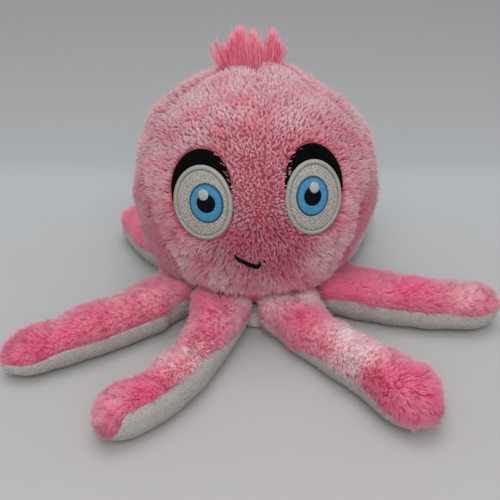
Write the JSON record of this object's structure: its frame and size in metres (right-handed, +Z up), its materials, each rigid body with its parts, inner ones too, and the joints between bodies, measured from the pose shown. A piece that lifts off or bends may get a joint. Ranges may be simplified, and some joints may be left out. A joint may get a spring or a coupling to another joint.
{
  "type": "plush octopus",
  "caption": "Sitting plush octopus with a round head, embroidered eyes, a hair tuft and soft arms that lie on the floor and lift at their roots",
  "frame": {"origin": "middle of the flat under the body, on the floor", "axes": "+Z up, the face looks towards -Y, +X to the right of someone who looks at the face"},
  "size_m": [0.3264, 0.3361, 0.1895],
  "materials": {
    "pink_plush": "long-pile polyester plush, mottled pink with pale patches",
    "deep_pink_hair": "long straight polyester strands",
    "white_velour": "short-pile polyester velour",
    "white_thread": "satin-stitched polyester thread",
    "blue_thread": "satin-stitched polyester thread",
    "black_thread": "satin-stitched polyester thread",
    "fibre_fill": "loose polyester fibre filling"
  },
  "bodies": {
    "head": {"head_front_panel": "pink_plush", "head_back_left_panel": "pink_plush", "head_back_right_panel": "pink_plush", "base_panel": "white_velour", "head_stuffing": "fibre_fill", "hair_tuft": "deep_pink_hair", "eye_left_lid": "black_thread", "eye_left_border": "white_thread", "eye_left_white": "white_thread", "eye_left_iris": "blue_thread", "eye_left_pupil": "black_thread", "eye_left_glint": "white_thread", "eye_right_lid": "black_thread", "eye_right_border": "white_thread", "eye_right_white": "white_thread", "eye_right_iris": "blue_thread", "eye_right_pupil": "black_thread", "eye_right_glint": "white_thread", "mouth_stitch": "black_thread"},
    "arm_front_left": {"arm_front_left_top": "pink_plush", "arm_front_left_underside": "white_velour", "arm_front_left_stuffing": "fibre_fill"},
    "arm_front_right": {"arm_front_right_top": "pink_plush", "arm_front_right_underside": "white_velour", "arm_front_right_stuffing": "fibre_fill"},
    "arm_right": {"arm_right_top": "pink_plush", "arm_right_underside": "white_velour", "arm_right_stuffing": "fibre_fill"},
    "arm_rear_right": {"arm_rear_right_top": "pink_plush", "arm_rear_right_underside": "white_velour", "arm_rear_right_stuffing": "fibre_fill"},
    "arm_back_right": {"arm_back_right_top": "pink_plush", "arm_back_right_underside": "white_velour", "arm_back_right_stuffing": "fibre_fill"},
    "arm_back_left": {"arm_back_left_top": "pink_plush", "arm_back_left_underside": "white_velour", "arm_back_left_stuffing": "fibre_fill"},
    "arm_rear_left": {"arm_rear_left_top": "pink_plush", "arm_rear_left_underside": "white_velour", "arm_rear_left_stuffing": "fibre_fill"},
    "arm_left": {"arm_left_top": "pink_plush", "arm_left_underside": "white_velour", "arm_left_stuffing": "fibre_fill"}
  },
  "joints": [
    {"name": "arm_front_left_lift", "type": "hinge", "parent": "head", "child": "arm_front_left", "pos_m": [-0.02458, -0.06218, 0.035], "axis": [-0.93, 0.3677, 0], "range_deg": [0, 45]},
    {"name": "arm_front_right_lift", "type": "hinge", "parent": "head", "child": "arm_front_right", "pos_m": [0.02346, -0.06236, 0.035], "axis": [-0.936, -0.352, 0], "range_deg": [0, 45]},
    {"name": "arm_right_lift", "type": "hinge", "parent": "head", "child": "arm_right", "pos_m": [0.06136, -0.03322, 0.035], "axis": [-0.4761, -0.8794, 0], "range_deg": [0, 45]},
    {"name": "arm_rear_right_lift", "type": "hinge", "parent": "head", "child": "arm_rear_right", "pos_m": [0.06013, 0.03682, 0.035], "axis": [0.5222, -0.8528, 0], "range_deg": [0, 45]},
    {"name": "arm_back_right_lift", "type": "hinge", "parent": "head", "child": "arm_back_right", "pos_m": [0.02378, 0.06256, 0.035], "axis": [0.9347, -0.3553, 0], "range_deg": [0, 45]},
    {"name": "arm_back_left_lift", "type": "hinge", "parent": "head", "child": "arm_back_left", "pos_m": [-0.02231, 0.06262, 0.035], "axis": [0.942, 0.3356, 0], "range_deg": [0, 45]},
    {"name": "arm_rear_left_lift", "type": "hinge", "parent": "head", "child": "arm_rear_left", "pos_m": [-0.06595, 0.02557, 0.035], "axis": [0.3615, 0.9324, 0], "range_deg": [0, 45]},
    {"name": "arm_left_lift", "type": "hinge", "parent": "head", "child": "arm_left", "pos_m": [-0.05676, -0.04058, 0.035], "axis": [-0.5815, 0.8135, 0], "range_deg": [0, 45]}
  ]
}
